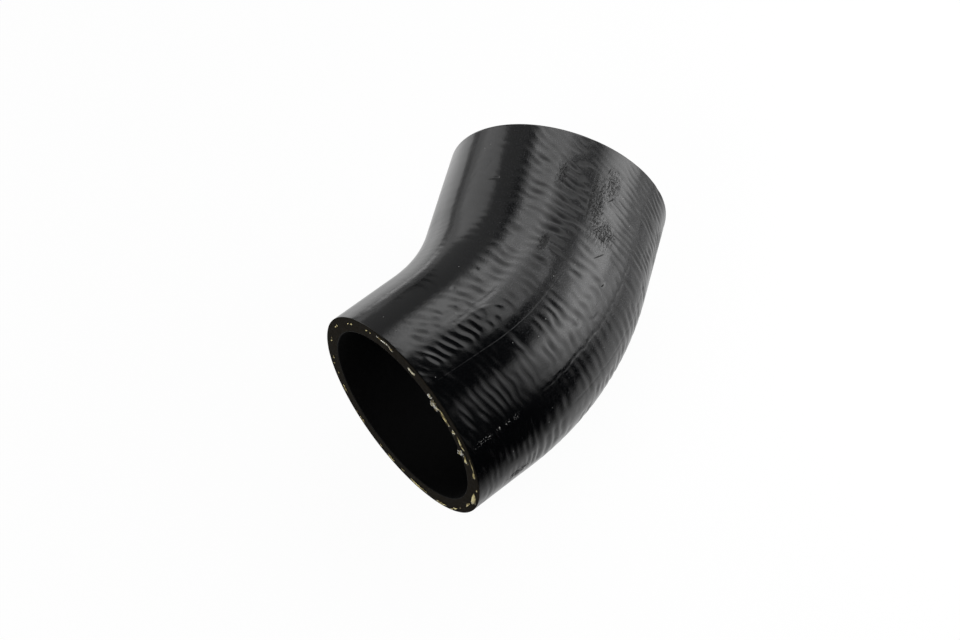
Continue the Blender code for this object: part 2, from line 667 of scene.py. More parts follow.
@dataclass(frozen=True)
class SkinRubber:
    """Finish of the cured skin: near-black, semi-gloss, with the tape's grain, dust, scuffs and
    pale specks painted as the grain of its sheen.

    Lengths are in millimetres and angles in degrees. Levels are the values between which a noise
    or a distance starts to make a mark and makes it in full.
    """

    # Colours, and what each mark adds to the roughness
    color: Color = (0.0008, 0.0010, 0.0014, 1.0)
    # Pale specks that paint the grain of the sheen into the colour
    sheen_speck_color: Color = (0.060, 0.0605, 0.063, 1.0)
    # Dark colour of the worn dirt, and of the shade painted into the scratches
    worn_and_scratch_shade_color: Color = (0.0005, 0.0005, 0.0005, 1.0)
    dust_color: Color = (0.62, 0.62, 0.60, 1.0)
    haze: Texture = Texture((0.10, 0.16, 1.0), 3.0, 0.6)
    roughness: Pair = (0.09, 0.13)
    speck_roughness: float = 0.03
    trough_roughness: float = 0.11
    worn_roughness: float = 0.60
    dust_roughness: float = 0.50
    ior: float = 1.5

    # Scuffs in a row near the cut
    grit: Texture = Texture((1.5, 2.2, 1.0), 3.0, 0.75)
    grit_levels: Pair = (0.59, 0.65)
    clumps: Texture = Texture((0.42, 0.2, 1.0))
    clump_levels: Pair = (0.43, 0.50)
    scuff_angle: float = 147.0
    scuff_edge: Pair = (1.1, 0.4)
    scuff_start: Pair = (2.0, 4.0)
    scuff_end: Pair = (23.0, 21.0)

    # Grains of dust, by how many there are for each millimetre, their size and how pale they are
    dust_grains: float = 0.22
    dust_size: Pair = (0.045, 0.020)
    dust_share: float = 0.34

    # The mould line along the top of the near half, with its drift round the hose over a run
    line_angle: float = 109.0
    line_drift: float = 3.0
    line_run: float = 50.0
    line_edge: Pair = (0.28, 0.05)
    line_start: Pair = (2.0, 6.0)
    line_end: Pair = (58.0, 44.0)
    line_height: float = 1.9

    # Specks, painted pale as the grain of the sheen, and where they are fainter: in troughs, near
    # the cut and at the sides
    specks: Texture = Texture((1.9, 2.0, 1.0), 4.0, 0.9)
    speck_levels: Pair = (0.46, 0.72)
    trough_specks: float = 0.3
    sheen_specks_from: Pair = (22.0, 50.0)
    near_specks: float = 0.12
    inner_side: tuple[float, ...] = (68.0, 82.0, 0.5)
    outer_side: tuple[float, ...] = (158.0, 185.0, 0.3)

    # Dirt in the worn stretches, with fine cracks, and scratches from one end to the other, painted
    # dark as the shade in their grooves
    blotches: Texture = Texture((0.9, 1.6, 1.0), 5.0, 0.8)
    dirt_limits: Pair = (0.74, 0.47)
    dirt_edge: float = 0.05
    flow: Texture = Texture((0.35, 0.8, 1.0), 4.0, 0.65)
    crack_edge: Pair = (0.020, 0.006)
    dirt_depth: float = 3.6
    scratch_width: float = 0.22
    scratch_edge: Pair = (1.6, 1.1)
    shaded_scratches: tuple[tuple[float, ...], ...] = (
        (63.5, 123.5, 66.5, 128.2), (70.6, 118.6, 72.2, 120.3), (71.3, 125.4, 72.1, 129.6),
        (77.6, 119.9, 79.2, 121.3), (83.4, 121.6, 86.4, 125.0), (94.0, 117.9, 96.5, 118.7),
        (58.6, 133.9, 59.7, 134.7),
    )

    # The rubber's grain and the tape's threads in it, and the height of both
    grain: Texture = Texture((0.8, 1.1, 1.0), 3.0, 0.6)
    threads: Texture = Texture((0.45, 3.2, 1.0), 1.0, 0.5, 35.0)
    thread_share: float = 0.4
    relief: float = 0.014

    def make(self, radius: float) -> bpy.types.Material:
        """Make the material.

        Args:
            radius: Radius of the skin, for its map.

        Returns:
            The material.
        """
        shader = Shader("skin_rubber")
        wrap = Socket(shader.add("ShaderNodeUVMap", uv_map=HoseWall.MAP), "UV")
        split = shader.add("ShaderNodeSeparateXYZ", {0: wrap})
        along, arc = Socket(split, "X"), Socket(split, "Y")
        degree = math.radians(1) * radius / MM
        grit = self.grit.over(wrap)

        # Dust and scuffs
        in_row = abs(arc - degree * self.scuff_angle).span(*self.scuff_edge)
        in_row = in_row * along.span(*self.scuff_start) * along.span(*self.scuff_end)
        scuffs = in_row * grit.span(*self.grit_levels)
        scuffs = scuffs * self.clumps.over(wrap).span(*self.clump_levels)
        inputs = {"Vector": wrap, "Scale": self.dust_grains}
        grains = Socket(shader.add("ShaderNodeTexVoronoi", inputs, feature="F1"), "Distance")
        light_marks = grains.span(*self.dust_size) * self.dust_share | scuffs

        # The mould line
        line_at = along * (degree * self.line_drift / self.line_run) + degree * self.line_angle
        line = abs(arc - line_at).span(*self.line_edge)
        line = line * along.span(*self.line_end) * along.span(*self.line_start)

        # Specks of painted sheen all over
        dull = shader.layer(HoseWall.DULL)
        sheen_speck_share = dull.span(1.0, 0.0, self.trough_specks, 1.0)
        sheen_speck_share = sheen_speck_share * along.span(*self.sheen_specks_from, self.near_specks, 1.0)
        first, full, faint = self.inner_side
        sheen_speck_share = sheen_speck_share * arc.span(degree * first, degree * full, faint, 1.0)
        fading, gone, faint = self.outer_side
        sheen_speck_share = sheen_speck_share * arc.span(degree * fading, degree * gone, 1.0, faint)
        specks = self.specks.over(wrap).span(*self.speck_levels)

        # Dirt, and the shade painted into the scratches
        worn = shader.layer(HoseWall.WEAR)
        limit = worn.span(0.0, 1.0, *self.dirt_limits)
        dirt_and_scratch_shade = (self.blotches.over(wrap) - limit).span(0.0, self.dirt_edge)
        dirt_and_scratch_shade = dirt_and_scratch_shade | abs(self.flow.over(wrap) - NOISE_MIDDLE).span(*self.crack_edge) * worn
        for ends in self.shaded_scratches:
            dirt_and_scratch_shade = dirt_and_scratch_shade | self._shaded_scratch(wrap, grit, degree, ends)

        # Colour, gloss and relief
        # The specks are painted sheen: pale colour that stands in for the grain of the gloss
        color = shader.mix(specks * sheen_speck_share, self.color, self.sheen_speck_color)
        # The scratches' dark colour is painted shade; the worn dirt's is its own
        color = shader.mix(dirt_and_scratch_shade, color, self.worn_and_scratch_shade_color)
        gloss = self.haze.over(wrap).span(*NOISE_RANGE, *self.roughness)
        gloss = gloss + specks * self.speck_roughness + dull * self.trough_roughness
        gloss = gloss + dirt_and_scratch_shade * self.worn_roughness + light_marks * self.dust_roughness
        cloth = self.grain.over(wrap) + self.threads.over(wrap) * self.thread_share
        cloth = cloth + line * self.line_height - dirt_and_scratch_shade * self.dirt_depth
        return shader.dressed({
            "Base Color": shader.mix(light_marks, color, self.dust_color),
            "Roughness": gloss,
            "IOR": self.ior,
            "Normal": shader.bump(cloth, self.relief * MM),
        })

    def _shaded_scratch(
        self, wrap: Socket, grit: Socket, degree: float, ends: tuple[float, ...]
    ) -> Socket:
        """Find where one scratch is, which is painted dark as the shade in its groove.

        Args:
            wrap: The skin's map.
            grit: Fine noise that makes the scratch ragged.
            degree: Millimetres round the skin for each degree.
            ends: Millimetres along and degrees round of its two ends.

        Returns:
            Values from 0 off the scratch to 1 on it.
        """
        run = (ends[2] - ends[0], (ends[3] - ends[1]) * degree)
        inputs = {
            "Vector": wrap,
            "Location": ((ends[0] + ends[2]) / 2, (ends[1] + ends[3]) / 2 * degree, 0.0),
            "Rotation": (0.0, 0.0, math.atan2(run[1], run[0])),
            "Scale": (math.hypot(*run) / 2, self.scratch_width, 1.0),
        }
        nodes = Nodes(wrap.node.id_data)
        place = nodes.add("ShaderNodeMapping", inputs, vector_type="TEXTURE")
        away = nodes.add("ShaderNodeVectorMath", {0: Socket(place)}, operation="LENGTH")
        return (Socket(away, "Value") + grit).span(*self.scratch_edge)


@dataclass(frozen=True)
class CutRubber:
    """Finish of the knife-cut wall: brownish black, matt and slightly fibrous."""

    color: Color = (0.0085, 0.0070, 0.0048, 1.0)
    fibre_color: Color = (0.026, 0.021, 0.013, 1.0)
    roughness: Pair = (0.70, 0.95)
    specular: float = 0.04
    fibres: Texture = Texture((900.0, 900.0, 900.0), 4.0, 0.7)
    fibre_levels: Pair = (0.5, 0.72)
    streaks: Texture = Texture((350.0, 350.0, 1050.0), 3.0, 0.6)
    streak_levels: Pair = (0.4, 0.65)
    relief: float = 0.10 * MM

    def make(self) -> bpy.types.Material:
        """Make the material.

        Returns:
            The material.
        """
        shader = Shader("cut_rubber")
        place = shader.place()
        fibres = self.fibres.over(place)
        share = fibres.span(*self.fibre_levels) * self.streaks.over(place).span(*self.streak_levels)
        return shader.dressed({
            "Base Color": shader.mix(share, self.color, self.fibre_color),
            "Roughness": fibres.span(*NOISE_RANGE, *self.roughness),
            "Specular IOR Level": self.specular,
            "Normal": shader.bump(fibres, self.relief),
        })


@dataclass(frozen=True)
class LinerRubber:
    """Finish of the bore: plain black and matt."""

    color: Color = (0.0012, 0.0012, 0.0013, 1.0)
    roughness: Pair = (0.56, 0.72)
    specular: float = 0.12
    grain: Texture = Texture((700.0, 700.0, 700.0), 3.0, 0.6)
    relief: float = 0.05 * MM

    def make(self) -> bpy.types.Material:
        """Make the material.

        Returns:
            The material.
        """
        shader = Shader("liner_rubber")
        grain = self.grain.over(shader.place())
        return shader.dressed({
            "Base Color": self.color,
            "Roughness": grain.span(*NOISE_RANGE, *self.roughness),
            "Specular IOR Level": self.specular,
            "Normal": shader.bump(grain, self.relief),
        })


@dataclass(frozen=True)
class YarnFibre:
    """Finish of the yarn: matt, yellow where it lies in the wall and nearly white in the tufts."""

    color: Color = (0.72, 0.63, 0.30, 1.0)
    tuft_color: Color = (0.88, 0.87, 0.80, 1.0)
    stained_color: Color = (0.20, 0.15, 0.05, 1.0)
    roughness: float = 0.75
    sheen: float = 0.3
    stains: Texture = Texture((480.0, 480.0, 480.0), 2.0, 0.6)
    stain_levels: Pair = (0.48, 0.62)

    def make(self) -> bpy.types.Material:
        """Make the material.

        Returns:
            The material.
        """
        shader = Shader("yarn_fibre")
        stains = self.stains.over(shader.place()).span(*self.stain_levels)
        color = shader.mix(shader.layer(YarnEnds.CURLED), self.color, self.tuft_color)
        return shader.dressed({
            "Base Color": shader.mix(stains, color, self.stained_color),
            "Roughness": self.roughness,
            "Sheen Weight": self.sheen,
        })


@dataclass
class HoseWall:
    """The hose's whole wall as one closed mesh: skin, cut faces and bore."""

    mandrel: Mandrel
    outer_radius: float
    wall: float = 5.5 * MM
    edge_rounding: float = 0.22 * MM
    rounding_steps: int = 3
    skin_step: float = 0.40 * MM
    cut_rings: int = 9
    bore_steps: int = 14
    bore_margin: float = 3.0
    fine_sector: Pair = (12.0, 204.0)
    fine_lines: int = 262
    plain_lines: int = 62
    cut_relief: float = 0.09 * MM
    cut_margin: float = 1.0 * MM
    chatter: SurfaceNoise = SurfaceNoise(31, 0.8 * MM, 180)
    chatter_share: float = 0.5
    groove: SurfaceNoise = SurfaceNoise(33, 4 * MM, 70)
    groove_share: float = 0.6
    groove_width: float = 0.5 * MM

    MAP = "wrap"
    WEAR = "wear"
    DULL = "dull"

    @property
    def bore_radius(self) -> float:
        """Radius of the bore."""
        return self.outer_radius - self.wall

    def angles(self) -> Values:
        """Find the angles of the mesh's lines, closest together where the marks are finest.

        Returns:
            The angles, once round the hose.
        """
        start, end = (math.radians(a) for a in self.fine_sector)
        fine = np.linspace(start, end, self.fine_lines, endpoint=False)
        plain = np.linspace(end, start + math.tau, self.plain_lines, endpoint=False)
        return np.concatenate([fine, plain])

    def section(self) -> tuple[Values, Values, list[Zone]]:
        """Walk round the wall's section, out along the skin and back along the bore.

        Returns:
            Distance along, distance from the centreline and zone of each point. A point's zone
            is that of the strip between it and the next.
        """
        length, bend = self.mandrel.length, self.edge_rounding
        outer, inner = self.outer_radius, self.bore_radius
        count = round((length - 2 * bend) / self.skin_step)
        skin = [(a, outer) for a in np.linspace(bend, length - bend, count + 1)[:-1]]
        clear = self.bore_margin * bend
        bore = [(a, inner) for a in np.linspace(length - clear, clear, self.bore_steps + 1)]
        face = np.linspace(inner + bend, outer - bend, self.cut_rings + 1)[1:-1]
        stretches = (
            (self._rounded(0.0, outer, 1, 1)[:-1], Zone.CUT),
            (skin, Zone.SKIN),
            (self._rounded(length, outer, -1, 1)[::-1], Zone.CUT),
            ([(length, r) for r in face[::-1]], Zone.CUT),
            (self._rounded(length, inner, -1, -1), Zone.BORE),
            (bore, Zone.BORE),
            (self._rounded(0.0, inner, 1, -1)[::-1], Zone.BORE),
            ([(0.0, r) for r in face], Zone.CUT),
        )
        points, zones = [], []
        for stretch, zone in stretches:
            points += stretch
            zones += [zone] * len(stretch)
            if zone is not Zone.CUT and stretch[-1][0] in (0.0, length):
                zones[-1] = Zone.CUT
        along, radius = np.array(points).T
        return along, radius, zones

    def _rounded(self, along: float, radius: float, inward: int, outward: int) -> list[Pair]:
        """Round an edge, from the cut face to the skin or bore.

        Args:
            along: Distance along to the cut.
            radius: Radius of the skin or bore.
            inward: 1 where the wall lies further along, or else -1.
            outward: 1 on the skin, -1 in the bore.

        Returns:
            Distance along and distance from the centreline of each point.
        """
        steps = self.rounding_steps
        turns = [math.radians(90) * step / steps for step in range(steps + 1)]
        return [
            (
                along + inward * self.edge_rounding * (1 - math.cos(turn)),
                radius - outward * self.edge_rounding * (1 - math.sin(turn)),
            )
            for turn in turns
        ]

    def build(self, skin: HoseSkin, finishes: list[bpy.types.Material]) -> bpy.types.Object:
        """Make the wall's mesh and dress it.

        Args:
            skin: The skin's relief and wear.
            finishes: Materials of the skin, the cuts and the bore.

        Returns:
            The wall.
        """
        along, radius, zones = self.section()
        spots = Spots(*np.meshgrid(along, self.angles(), indexing="ij"))
        radius = np.broadcast_to(radius[:, None], spots.along.shape)
        outer, inner, length = self.outer_radius, self.bore_radius, self.mandrel.length
        on_skin = smooth_step(outer - 2 * self.edge_rounding, outer, radius)
        on_cut = smooth_step(inner, inner + self.cut_margin, radius)
        on_cut = on_cut * smooth_step(outer, outer - self.cut_margin, radius)
        on_cut = on_cut * ((spots.along <= 0) | (spots.along >= length))
        inward = np.where(spots.along < length / 2, 1.0, -1.0)
        moved = spots.along + on_cut * self._cut_height(spots.around, radius) * inward
        relief = skin.relief(spots) * on_skin
        wall = self._mesh(self.mandrel.place(Spots(moved, spots.around), radius + relief), zones)
        self._paint(wall.data, spots, skin)
        for finish in finishes:
            wall.data.materials.append(finish)
        return wall

    def _cut_height(self, around: Values, radius: Values) -> Values:
        """Find the unevenness that the knife left, with a groove where the yarn lies.

        Args:
            around: Angles round the hose.
            radius: Distances from the centreline.

        Returns:
            Depths below the plain cut.
        """
        across = Spots(radius - (self.outer_radius - self.wall / 2), around)
        groove = np.exp(-((across.along / self.groove_width) ** 2))
        groove = groove * (self.groove_share + self.groove_share * self.groove.at(across))
        return self.cut_relief * (self.chatter_share * self.chatter.at(across) + groove)

    def _mesh(self, points: Values, zones: list[Zone]) -> bpy.types.Object:
        """Join the grid of points into one closed mesh.

        Args:
            points: Points by their place in the section and round the hose.
            zones: Zone of each strip of the section.

        Returns:
            The wall.
        """
        rows, columns = points.shape[:2]
        here = np.arange(rows * columns).reshape(rows, columns)
        next_row, next_column = np.roll(here, -1, 0), np.roll(here, -1, 1)
        both = np.roll(next_row, -1, 1)
        quads = np.stack([here, next_row, both, next_column], -1).reshape(-1, 4)
        mesh = bpy.data.meshes.new("hose_wall")
        mesh.from_pydata(points.reshape(-1, 3).tolist(), [], quads.tolist())
        slots = np.repeat([zone.value for zone in zones], columns).astype(np.int32)
        mesh.polygons.foreach_set("material_index", slots)
        mesh.shade_smooth()
        mesh.validate()
        wall = bpy.data.objects.new("hose_wall", mesh)
        bpy.context.scene.collection.objects.link(wall)
        return wall

    def _paint(self, mesh: bpy.types.Mesh, spots: Spots, skin: HoseSkin) -> None:
        """Give the mesh its map in millimetres, its wear and its dull troughs.

        Args:
            mesh: The wall's mesh.
            spots: Its points.
            skin: The skin.
        """
        layers = {self.WEAR: skin.wear(spots), self.DULL: skin.rings.dullness(spots)}
        for name, values in layers.items():
            layer = mesh.attributes.new(name, "FLOAT", "POINT")
            layer.data.foreach_set("value", values.astype(np.float32).ravel())
        corners = np.empty(len(mesh.loops), dtype=np.int32)
        mesh.loops.foreach_get("vertex_index", corners)
        u = spots.along.ravel()[corners] / MM
        turn = spots.around.ravel()[corners].reshape(-1, 4)
        # The last strip of faces closes the turn, so its far corners count one whole turn more
        wrapped = turn.max(1, keepdims=True) - turn > math.pi
        v = (turn + wrapped * math.tau).ravel() * self.outer_radius / MM
        layer = mesh.uv_layers.new(name=self.MAP)
        layer.uv.foreach_set("vector", np.stack([u, v], -1).astype(np.float32).ravel())


@dataclass(frozen=True)
class YarnEnd(Listed):
    """A place on a cut face where the yarn shows, in millimetres and degrees.

    Args:
        start: Angle where it starts.
        end: Angle where it ends.
        radius: Distance from the centreline.
        fray: How far its fibres spread.
        fibres: Number of fibres.
        rise: How far it stands out of the face.
        crumbs: Number of short curled fibres that make a tuft there.
        pale: How near its colour is to that of the tufts, from 0 to 1.
    """

    start: float
    end: float
    radius: float
    fray: float = 0.16
    fibres: int = 6
    rise: float = 0.25
    crumbs: int = 0
    pale: float = 0.0


@dataclass
class YarnEnds:
    """The yarn that the knife laid bare in the middle of the wall."""

    mandrel: Mandrel
    near: tuple[YarnEnd, ...] = YarnEnd.table(
        (3, 4.4, 34.8), (6.4, 7.4, 35.0), (22, 24, 35.3), (25, 26.5, 35.2), (41.5, 43, 35.3),
        (45, 47, 35.3), (61, 62.6, 35.7), (64, 65.4, 35.4), (70, 81, 36.2, 0.12, 14, 0.3, 0, 0.9),
        (80.5, 83.5, 35.7, 0.30, 12, 0.4, 12, 0.7), (94.5, 101, 35.1, 0.20, 12, 0.4, 6, 0.5),
        (112, 114.5, 34.3, 0.45, 5, 0.6, 34), (115.5, 119, 33.4, 0.60, 5, 1.0, 60),
        (119.5, 122, 33.0, 0.45, 5, 0.8, 44), (122, 133, 34.0, 0.14, 9, 0.5, 6),
        (134, 137, 34.8, 0.25, 8, 0.5, 14), (137, 148, 35.4, 0.14, 9, 0.4),
        (147.5, 151, 33.4, 0.60, 5, 1.0, 60), (151, 157, 34.4, 0.25, 9, 0.6, 16),
        (151, 163, 36.6, 0.08, 3, 0.3), (160.5, 167, 36.3, 0.18, 8, 0.3),
        (174.5, 177.5, 36.6, 0.12, 5, 0.25), (182, 195, 35.6, 0.45, 34, 0.3, 6),
        (197, 205, 35.2, 0.22, 9, 0.25), (213, 214.6, 35.5, 0.14, 5, 0.2),
        (219, 223.5, 35.9, 0.20, 8, 0.25), (225, 228, 36.8, 0.12, 4, 0.2),
        (231, 241.5, 36.3, 0.18, 10, 0.3), (248.5, 262.5, 35.9, 0.14, 9, 0.25),
        (267, 270.5, 35.0, 0.12, 5, 0.2), (275, 281.5, 35.6, 0.14, 8, 0.2),
        (286, 288, 35.5, 0.12, 4, 0.2), (300, 306, 35.9, 0.12, 7, 0.2),
        (308, 309.5, 36.0, 0.12, 4, 0.2), (321.5, 327.5, 35.4, 0.12, 7, 0.2),
        (334.5, 336, 35.0, 0.12, 4, 0.2), (341.5, 343, 35.4, 0.12, 4, 0.2),
        (347, 349, 34.9, 0.16, 5, 0.2),
    )
    far_count: int = 40
    far_spans: tuple[float, ...] = (1.5, 2.0, 5.0, 7.5)
    far_gap: Pair = (0.0, 0.5)
    far_radius: float = 35.3
    far_shift: Pair = (-0.5, 0.7)
    far_fray: Pair = (0.14, 0.02)
    far_fibres: int = 4
    far_seed: int = 71
    seeds: tuple[int, int] = (41, 43)
    fibre_radius: float = 0.065 * MM
    curled_radius: float = 0.05 * MM
    thickness: Pair = (0.7, 1.4)
    tip: float = 0.6
    sides: int = 5
    aside: tuple[float, float, float] = (0.3, 0.2, 0.93)

    # How much a laid fibre may be shorter than its place, wander across it and stand out of it
    laid_points: int = 6
    laid_trim: float = 0.35
    laid_spread: float = 0.6
    laid_rise: Pair = (-0.1, 1.0)
    laid_shift: Pair = (-0.1, 0.1)
    laid_lift: Pair = (-0.2, 0.5)

    # The same for a curled one, with its length in millimetres
    curl_points: int = 4
    curl_length: Pair = (0.25, 0.65)
    curl_swing: Pair = (-0.6, 0.6)
    curl_bend: Pair = (-0.5, 0.5)
    curl_spread: float = 0.7
    curl_rise: Pair = (0.0, 0.9)

    CURLED = "curled"

    def far(self) -> tuple[YarnEnd, ...]:
        """Spread the yarn of the far cut at random, as on the near one.

        Returns:
            The places where it shows.
        """
        draw = np.random.default_rng(self.far_seed)
        ends = []
        for step in range(self.far_count):
            start = 360.0 * (step + draw.uniform(*self.far_gap)) / self.far_count
            span = draw.choice(self.far_spans)
            radius = self.far_radius + draw.uniform(*self.far_shift)
            fray = self.far_fray[0] + self.far_fray[1] * span
            ends.append(YarnEnd(start, start + span, radius, fray, self.far_fibres + int(span)))
        return tuple(ends)

    def build(self, end: End, finish: bpy.types.Material) -> bpy.types.Object:
        """Make the yarn of one cut.

        Args:
            end: Which cut.
            finish: The yarn's material.

        Returns:
            The yarn.
        """
        is_near = end is End.NEAR
        draw = np.random.default_rng(self.seeds[0 if is_near else 1])
        points: list[Values] = []
        curled: list[float] = []
        faces: list[tuple[int, ...]] = []
        for place in self.near if is_near else self.far():
            routes = [self._laid(place, end, draw) for _ in range(place.fibres)]
            routes += [self._curled(place, end, draw) for _ in range(place.crumbs)]
            for number, route in enumerate(routes):
                is_curled = number >= place.fibres
                thickness = self.curled_radius if is_curled else self.fibre_radius
                tube, rings = self._tube(route, thickness * draw.uniform(*self.thickness))
                faces += [tuple(corner + len(curled) for corner in ring) for ring in rings]
                curled += [1.0 if is_curled else place.pale] * len(tube)
                points.append(tube)
        mesh = bpy.data.meshes.new(f"yarn_{end.value}")
        mesh.from_pydata(np.concatenate(points).tolist(), [], faces)
        mesh.attributes.new(self.CURLED, "FLOAT", "POINT").data.foreach_set("value", curled)
        mesh.shade_smooth()
        mesh.materials.append(finish)
        yarn = bpy.data.objects.new(f"yarn_{end.value}", mesh)
        bpy.context.scene.collection.objects.link(yarn)
        return yarn

    def _laid(self, place: YarnEnd, end: End, draw: np.random.Generator) -> Values:
        """Draw a fibre that lies along the wall.

        Args:
            place: Where it lies.
            end: Which cut.
            draw: Source of random numbers.

        Returns:
            Points of its route.
        """
        share = np.linspace(0, 1, self.laid_points)
        span = place.end - place.start
        first = place.start + draw.uniform(0, self.laid_trim) * span
        last = place.end - draw.uniform(0, self.laid_trim) * span
        arch = np.sin(share * math.pi)
        spread = place.fray * draw.normal(0, self.laid_spread, 3)
        radius = place.radius + spread[0] + spread[1] * share + spread[2] * arch
        proud = place.rise * draw.uniform(*self.laid_rise) * arch
        proud = proud + draw.uniform(*self.laid_shift)
        proud = proud + place.fray * draw.uniform(*self.laid_lift) * share
        return self._on_cut(end, proud, np.radians(first + (last - first) * share), radius)

    def _curled(self, place: YarnEnd, end: End, draw: np.random.Generator) -> Values:
        """Draw a short curled fibre of a tuft.

        Args:
            place: Where the tuft is.
            end: Which cut.
            draw: Source of random numbers.

        Returns:
            Points of its route.
        """
        share = np.linspace(-0.5, 0.5, self.curl_points)
        length = draw.uniform(*self.curl_length)
        lean, swing = draw.uniform(0, math.tau), draw.uniform(*self.curl_swing)
        curl = draw.uniform(*self.curl_bend) * length * (1 - 4 * share * share)
        middle = draw.uniform(place.start, place.end)
        radius = place.radius + place.fray * draw.normal(0, self.curl_spread)
        across = length * share * math.sin(lean) + curl * math.cos(lean)
        around = length * share * math.cos(lean) - curl * math.sin(lean)
        proud = place.rise * draw.uniform(*self.curl_rise) + length * swing * share
        return self._on_cut(end, proud, math.radians(middle) + around / radius, radius + across)

    def _on_cut(self, end: End, proud: Values, angle: Values, radius: Values) -> Values:
        """Find points that stand proud of a cut, in millimetres."""
        along = -proud * MM if end is End.NEAR else self.mandrel.length + proud * MM
        return self.mandrel.place(Spots(along, angle), radius * MM)

    def _tube(self, route: Values, thickness: float) -> tuple[Values, list[tuple[int, ...]]]:
        """Make one fibre, a thin bent tube with closed ends.

        Args:
            route: Points of its middle line.
            thickness: Its radius.

        Returns:
            Its points, and the corners of each face.
        """
        heading = np.gradient(route, axis=0)
        heading /= np.linalg.norm(heading, axis=1, keepdims=True)
        side = np.cross(heading, self.aside)
        side /= np.linalg.norm(side, axis=1, keepdims=True)
        up = np.cross(side, heading)
        turn = np.linspace(0, math.tau, self.sides, endpoint=False)[None, :, None]
        thick = np.full(len(route), thickness)
        thick[[0, -1]] *= self.tip
        ring = np.cos(turn) * side[:, None] + np.sin(turn) * up[:, None]
        tube = route[:, None] + thick[:, None, None] * ring
        here = np.arange(tube.shape[0] * self.sides).reshape(-1, self.sides)
        over = np.roll(here, -1, 1)
        quads = np.stack([here[:-1], over[:-1], over[1:], here[1:]], -1).reshape(-1, 4)
        faces = [tuple(quad) for quad in quads.tolist()]
        faces += [tuple(here[0].tolist()[::-1]), tuple(here[-1].tolist())]
        return tube.reshape(-1, 3), faces


@dataclass(frozen=True)
class PhotoCamera:
    """The camera, which looks down on the hose from its near cut's side.

    Args:
        aim: Point of the floor that the middle of the picture shows.
        heading: Heading that the camera looks along, counterclockwise from +X.
        elevation: How steeply it looks down.
        distance: Distance from the aim.
        roll: Turn about the line of sight.
        lens: Focal length in millimetres.
        sensor: Width of the sensor in millimetres.
        clip: Nearest and farthest distance that it shows.
    """

    aim: tuple[float, float, float] = (13.81 * MM, 13.84 * MM, 0.0)
    heading: float = math.radians(28.99)
    elevation: float = math.radians(58.75)
    distance: float = 825.05 * MM
    roll: float = math.radians(3.30)
    lens: float = 90.0
    sensor: float = 36.0
    clip: Pair = (0.01, 20.0)

    def build(self) -> None:
        """Make the camera and use it."""
        data = bpy.data.cameras.new("camera")
        data.lens = self.lens
        data.sensor_width = self.sensor
        data.clip_start, data.clip_end = self.clip
        camera = bpy.data.objects.new("camera", data)
        forward = heading_vector(self.heading, -self.elevation)
        level = Vector((math.sin(self.heading), -math.cos(self.heading), 0.0))
        upright = level.cross(forward)
        right = level * math.cos(self.roll) + upright * math.sin(self.roll)
        up = upright * math.cos(self.roll) - level * math.sin(self.roll)
        turned = Matrix((right, up, -forward)).transposed().to_4x4()
        turned.translation = Vector(self.aim) - forward * self.distance
        camera.matrix_world = turned
        bpy.context.scene.collection.objects.link(camera)
        bpy.context.scene.camera = camera


@dataclass(frozen=True)
class SoftBox(Listed):
    """A large lamp whose light fades towards the edges of its face.

    Args:
        name: The lamp's name.
        bearing: Bearing from the hose in degrees, counterclockwise from the camera's heading.
        rise: Elevation of its middle in degrees.
        distance: Distance from the hose's middle.
        size: Width and height.
        radiance: Brightness of its face, where 1 is white.
        roll: Turn of its face in degrees.
        fade: Shares of its width and height over which its light fades at each edge.
    """

    name: str
    bearing: float
    rise: float
    distance: float
    size: Pair
    radiance: float
    roll: float
    fade: Pair

    def build(self, middle: Vector, heading: float) -> None:
        """Make the lamp, facing the hose.

        Args:
            middle: The hose's middle.
            heading: Heading of the camera.
        """
        data = bpy.data.lights.new(self.name, "AREA")
        data.shape = "RECTANGLE"
        data.size, data.size_y = self.size
        data.energy = self.radiance * math.pi * self.size[0] * self.size[1]
        lamp = bpy.data.objects.new(self.name, data)
        away = heading_vector(heading + math.radians(self.bearing), math.radians(self.rise))
        facing = away.to_track_quat("Z", "Y").to_matrix().to_4x4()
        turned = Matrix.Rotation(math.radians(self.roll), 4, "Z")
        lamp.matrix_world = Matrix.Translation(middle + away * self.distance) @ facing @ turned
        lamp.visible_camera = False
        bpy.context.scene.collection.objects.link(lamp)
        self._soften(data)

    def _soften(self, data: bpy.types.AreaLight) -> None:
        """Let the light fade towards the edges of the lamp's face.

        Args:
            data: The lamp's data.
        """
        data.use_nodes = True
        nodes = Nodes(data.node_tree)
        face = Socket(nodes.add("ShaderNodeNewGeometry"), "Parametric")
        split = nodes.add("ShaderNodeSeparateXYZ", {0: face})
        # The face's map runs from 0 to 1 on both axes
        half = 0.5
        light: object = 1.0
        for axis, fade in zip("XY", self.fade):
            light = abs(Socket(split, axis) - half).span(half, half - fade) * light
        nodes.feed(data.node_tree.nodes["Emission"], {"Strength": light})


